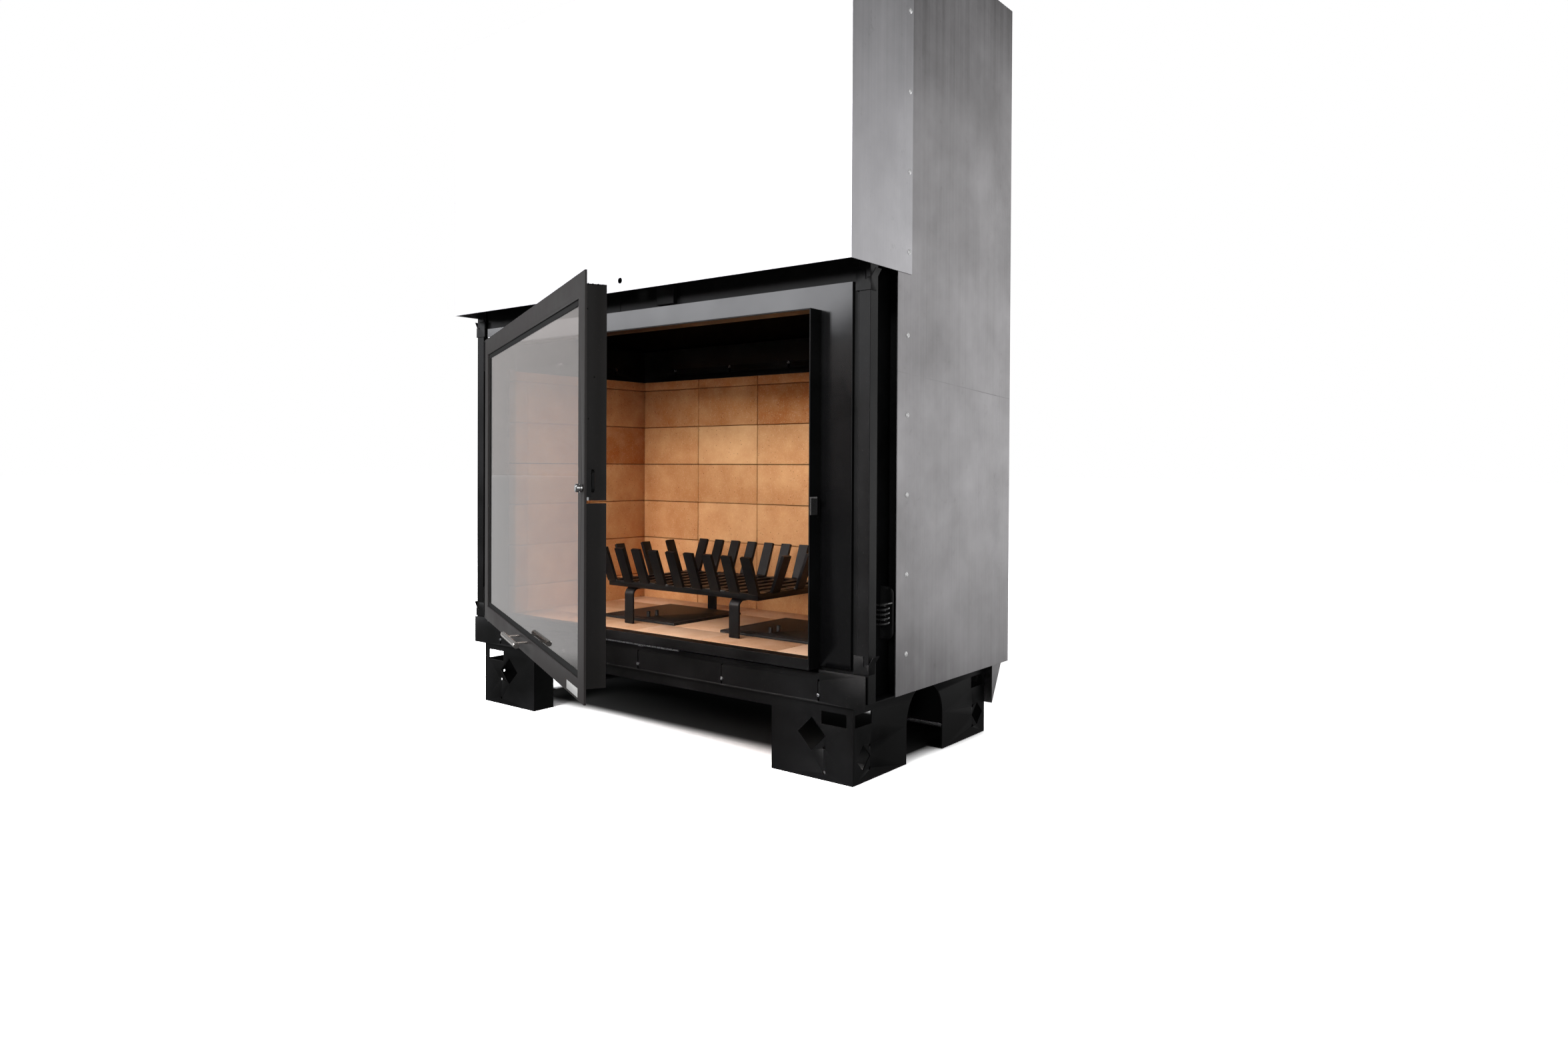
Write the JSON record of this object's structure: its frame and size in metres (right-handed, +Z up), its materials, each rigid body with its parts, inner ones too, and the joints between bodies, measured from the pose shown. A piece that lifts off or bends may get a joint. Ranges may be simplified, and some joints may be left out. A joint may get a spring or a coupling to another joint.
{
  "type": "fireplace insert",
  "caption": "Built-in wood fireplace insert with a brick-lined firebox, side-hung glass door, log basket, ash lids, sheet-steel casing and flue collar on a footed base.",
  "frame": {"origin": "on the floor, at the middle of the base's footprint and of its anchor holes", "axes": "+X to the right as seen from the front, +Y to the back, +Z up"},
  "size_m": [1.254, 1.1524, 1.76],
  "materials": {
    "satin_black_steel": "satin heat-proof black paint",
    "blued_black_steel": "smooth blue-black painted sheet",
    "raw_steel_sheet": "bare rolled steel sheet with faint streaks",
    "bright_steel_sheet": "bare bright steel sheet",
    "zinc_screws": "zinc-plated fasteners",
    "steel_cable": "drawn steel",
    "black_spring_wire": "blackened spring wire",
    "black_cast_iron": "blacked cast iron",
    "black_grate_steel": "black painted flat bar",
    "brown_black_door_steel": "warm dark grey satin paint",
    "black_gasket": "woven black glass-fibre gasket",
    "fire_glass": "clear ceramic fire glass",
    "brushed_stainless": "brushed stainless bar",
    "chromed_steel": "chromed turned steel",
    "firebrick": "pressed fireclay brick, speckled",
    "vermiculite": "pressed vermiculite board"
  },
  "bodies": {
    "insert": {"base_front": "satin_black_steel", "base_rear": "satin_black_steel", "base_sides": "satin_black_steel", "base_deck": "satin_black_steel", "rear_skirt": "raw_steel_sheet", "air_inlet_spigot": "satin_black_steel", "apron": "satin_black_steel", "apron_screws": "zinc_screws", "firebox_front": "satin_black_steel", "firebox_side_left": "satin_black_steel", "firebox_side_right": "satin_black_steel", "firebox_back": "satin_black_steel", "firebox_floor": "satin_black_steel", "hearth_sill": "satin_black_steel", "lintel_plate": "satin_black_steel", "lintel_stop": "satin_black_steel", "smoke_hood": "satin_black_steel", "flue_spigot": "satin_black_steel", "back_bricks": "firebrick", "left_bricks": "firebrick", "right_bricks": "firebrick", "floor_bricks": "firebrick", "back_retainer": "satin_black_steel", "side_retainers": "satin_black_steel", "retainer_screws": "zinc_screws", "baffle_plate": "vermiculite", "mouth_collar": "satin_black_steel", "fascia": "blued_black_steel", "strike": "satin_black_steel", "guide_rails": "satin_black_steel", "slide_guides": "satin_black_steel", "rail_clips": "satin_black_steel", "carriage_left": "satin_black_steel", "carriage_right": "satin_black_steel", "hinge_pins": "zinc_screws", "counterweights": "raw_steel_sheet", "lift_cables": "steel_cable", "lift_pulleys": "steel_cable", "pulley_hangers": "satin_black_steel", "buffer_springs": "black_spring_wire", "buffer_brackets": "satin_black_steel", "side_panels": "raw_steel_sheet", "back_panel": "raw_steel_sheet", "upper_casing": "bright_steel_sheet", "top_panel": "raw_steel_sheet", "cover_rivets": "zinc_screws", "ash_frames": "black_cast_iron", "ash_pits": "satin_black_steel"},
    "door": {"door_frame": "brown_black_door_steel", "glass_gasket": "black_gasket", "door_glass": "fire_glass", "glass_retainer": "satin_black_steel", "door_handle": "brushed_stainless"},
    "latch": {"latch_spindle": "chromed_steel", "latch_lever": "satin_black_steel"},
    "basket": {"log_basket": "black_grate_steel", "basket_legs": "black_grate_steel"},
    "lid_left": {"ash_lid_left": "black_cast_iron"},
    "lid_right": {"ash_lid_right": "black_cast_iron"},
    "slide": {"air_slide": "zinc_screws"}
  },
  "joints": [
    {"name": "door_swing", "type": "hinge", "parent": "insert", "child": "door", "pos_m": [-0.515, -0.316, 0.5], "axis": [0, 0, -1], "range_deg": [-27.9, 67.1]},
    {"name": "latch_turn", "type": "hinge", "parent": "door", "child": "latch", "pos_m": [0.39528, -0.79797, 0.585], "axis": [0.4679, 0.8838, 0], "range_deg": [0, 180]},
    {"name": "basket_lift", "type": "slide", "parent": "insert", "child": "basket", "axis": [0, 0, 1], "range_m": [0, 0.15]},
    {"name": "lid_left_lift", "type": "slide", "parent": "insert", "child": "lid_left", "axis": [0, 0, 1], "range_m": [0, 0.05]},
    {"name": "lid_right_lift", "type": "slide", "parent": "insert", "child": "lid_right", "axis": [0, 0, 1], "range_m": [0, 0.05]},
    {"name": "air_slide_travel", "type": "slide", "parent": "insert", "child": "slide", "axis": [1, 0, 0], "range_m": [-0.02, 0.02]}
  ]
}
